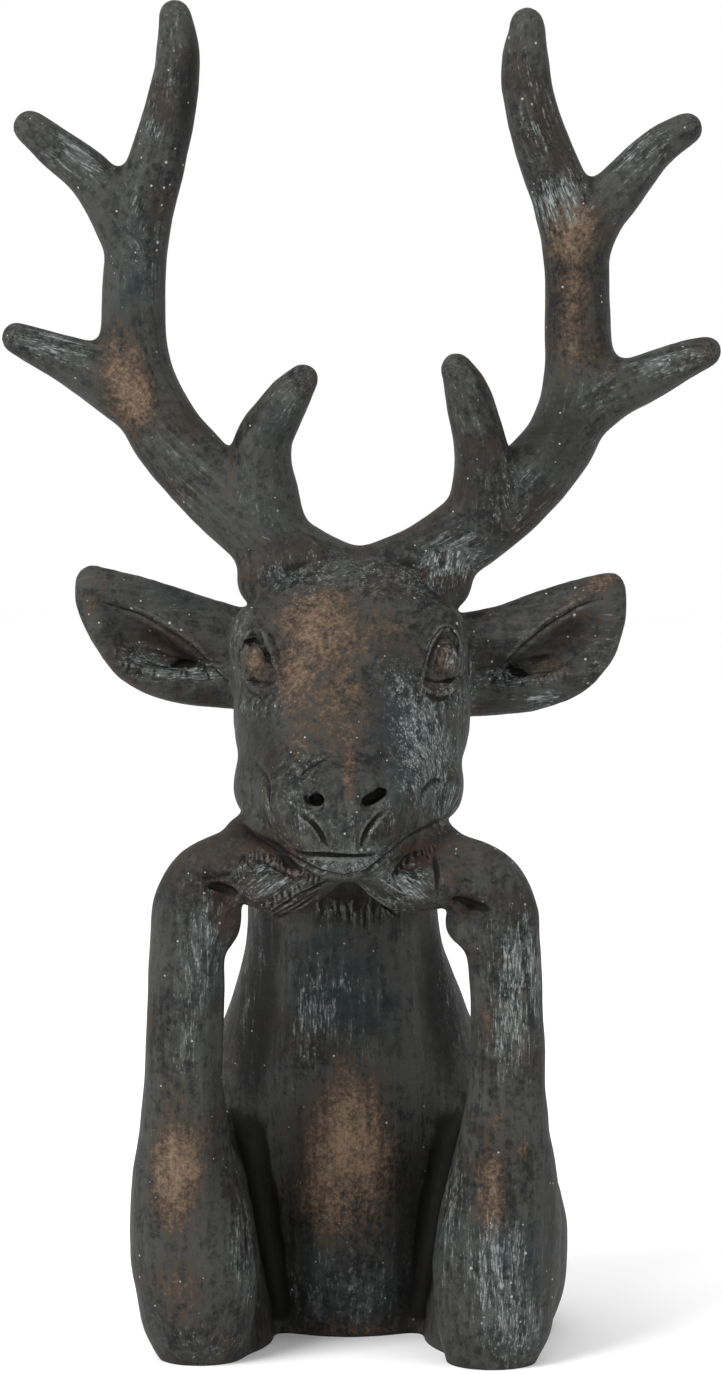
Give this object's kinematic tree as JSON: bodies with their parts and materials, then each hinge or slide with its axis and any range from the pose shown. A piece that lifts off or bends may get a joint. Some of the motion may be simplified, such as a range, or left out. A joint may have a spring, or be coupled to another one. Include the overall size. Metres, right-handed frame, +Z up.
{
  "type": "deer figurine",
  "caption": "Cast stag's bust resting its chin on its front hooves, antlers raised, standing on a flat underside",
  "frame": {"origin": "Middle of the footprint of the whole outline, on the flat underside", "axes": "+Z up the figure, the stag looks along -Y, +X to a viewer's right"},
  "size_m": [0.3216, 0.207, 0.5988],
  "materials": {
    "painted_cast": "blue-black bronze paint on cast magnesia, rubbed brown on its high places, with whitish dry brushing"
  },
  "bodies": {
    "root": {"deer_figurine": "painted_cast"}
  },
  "joints": []
}
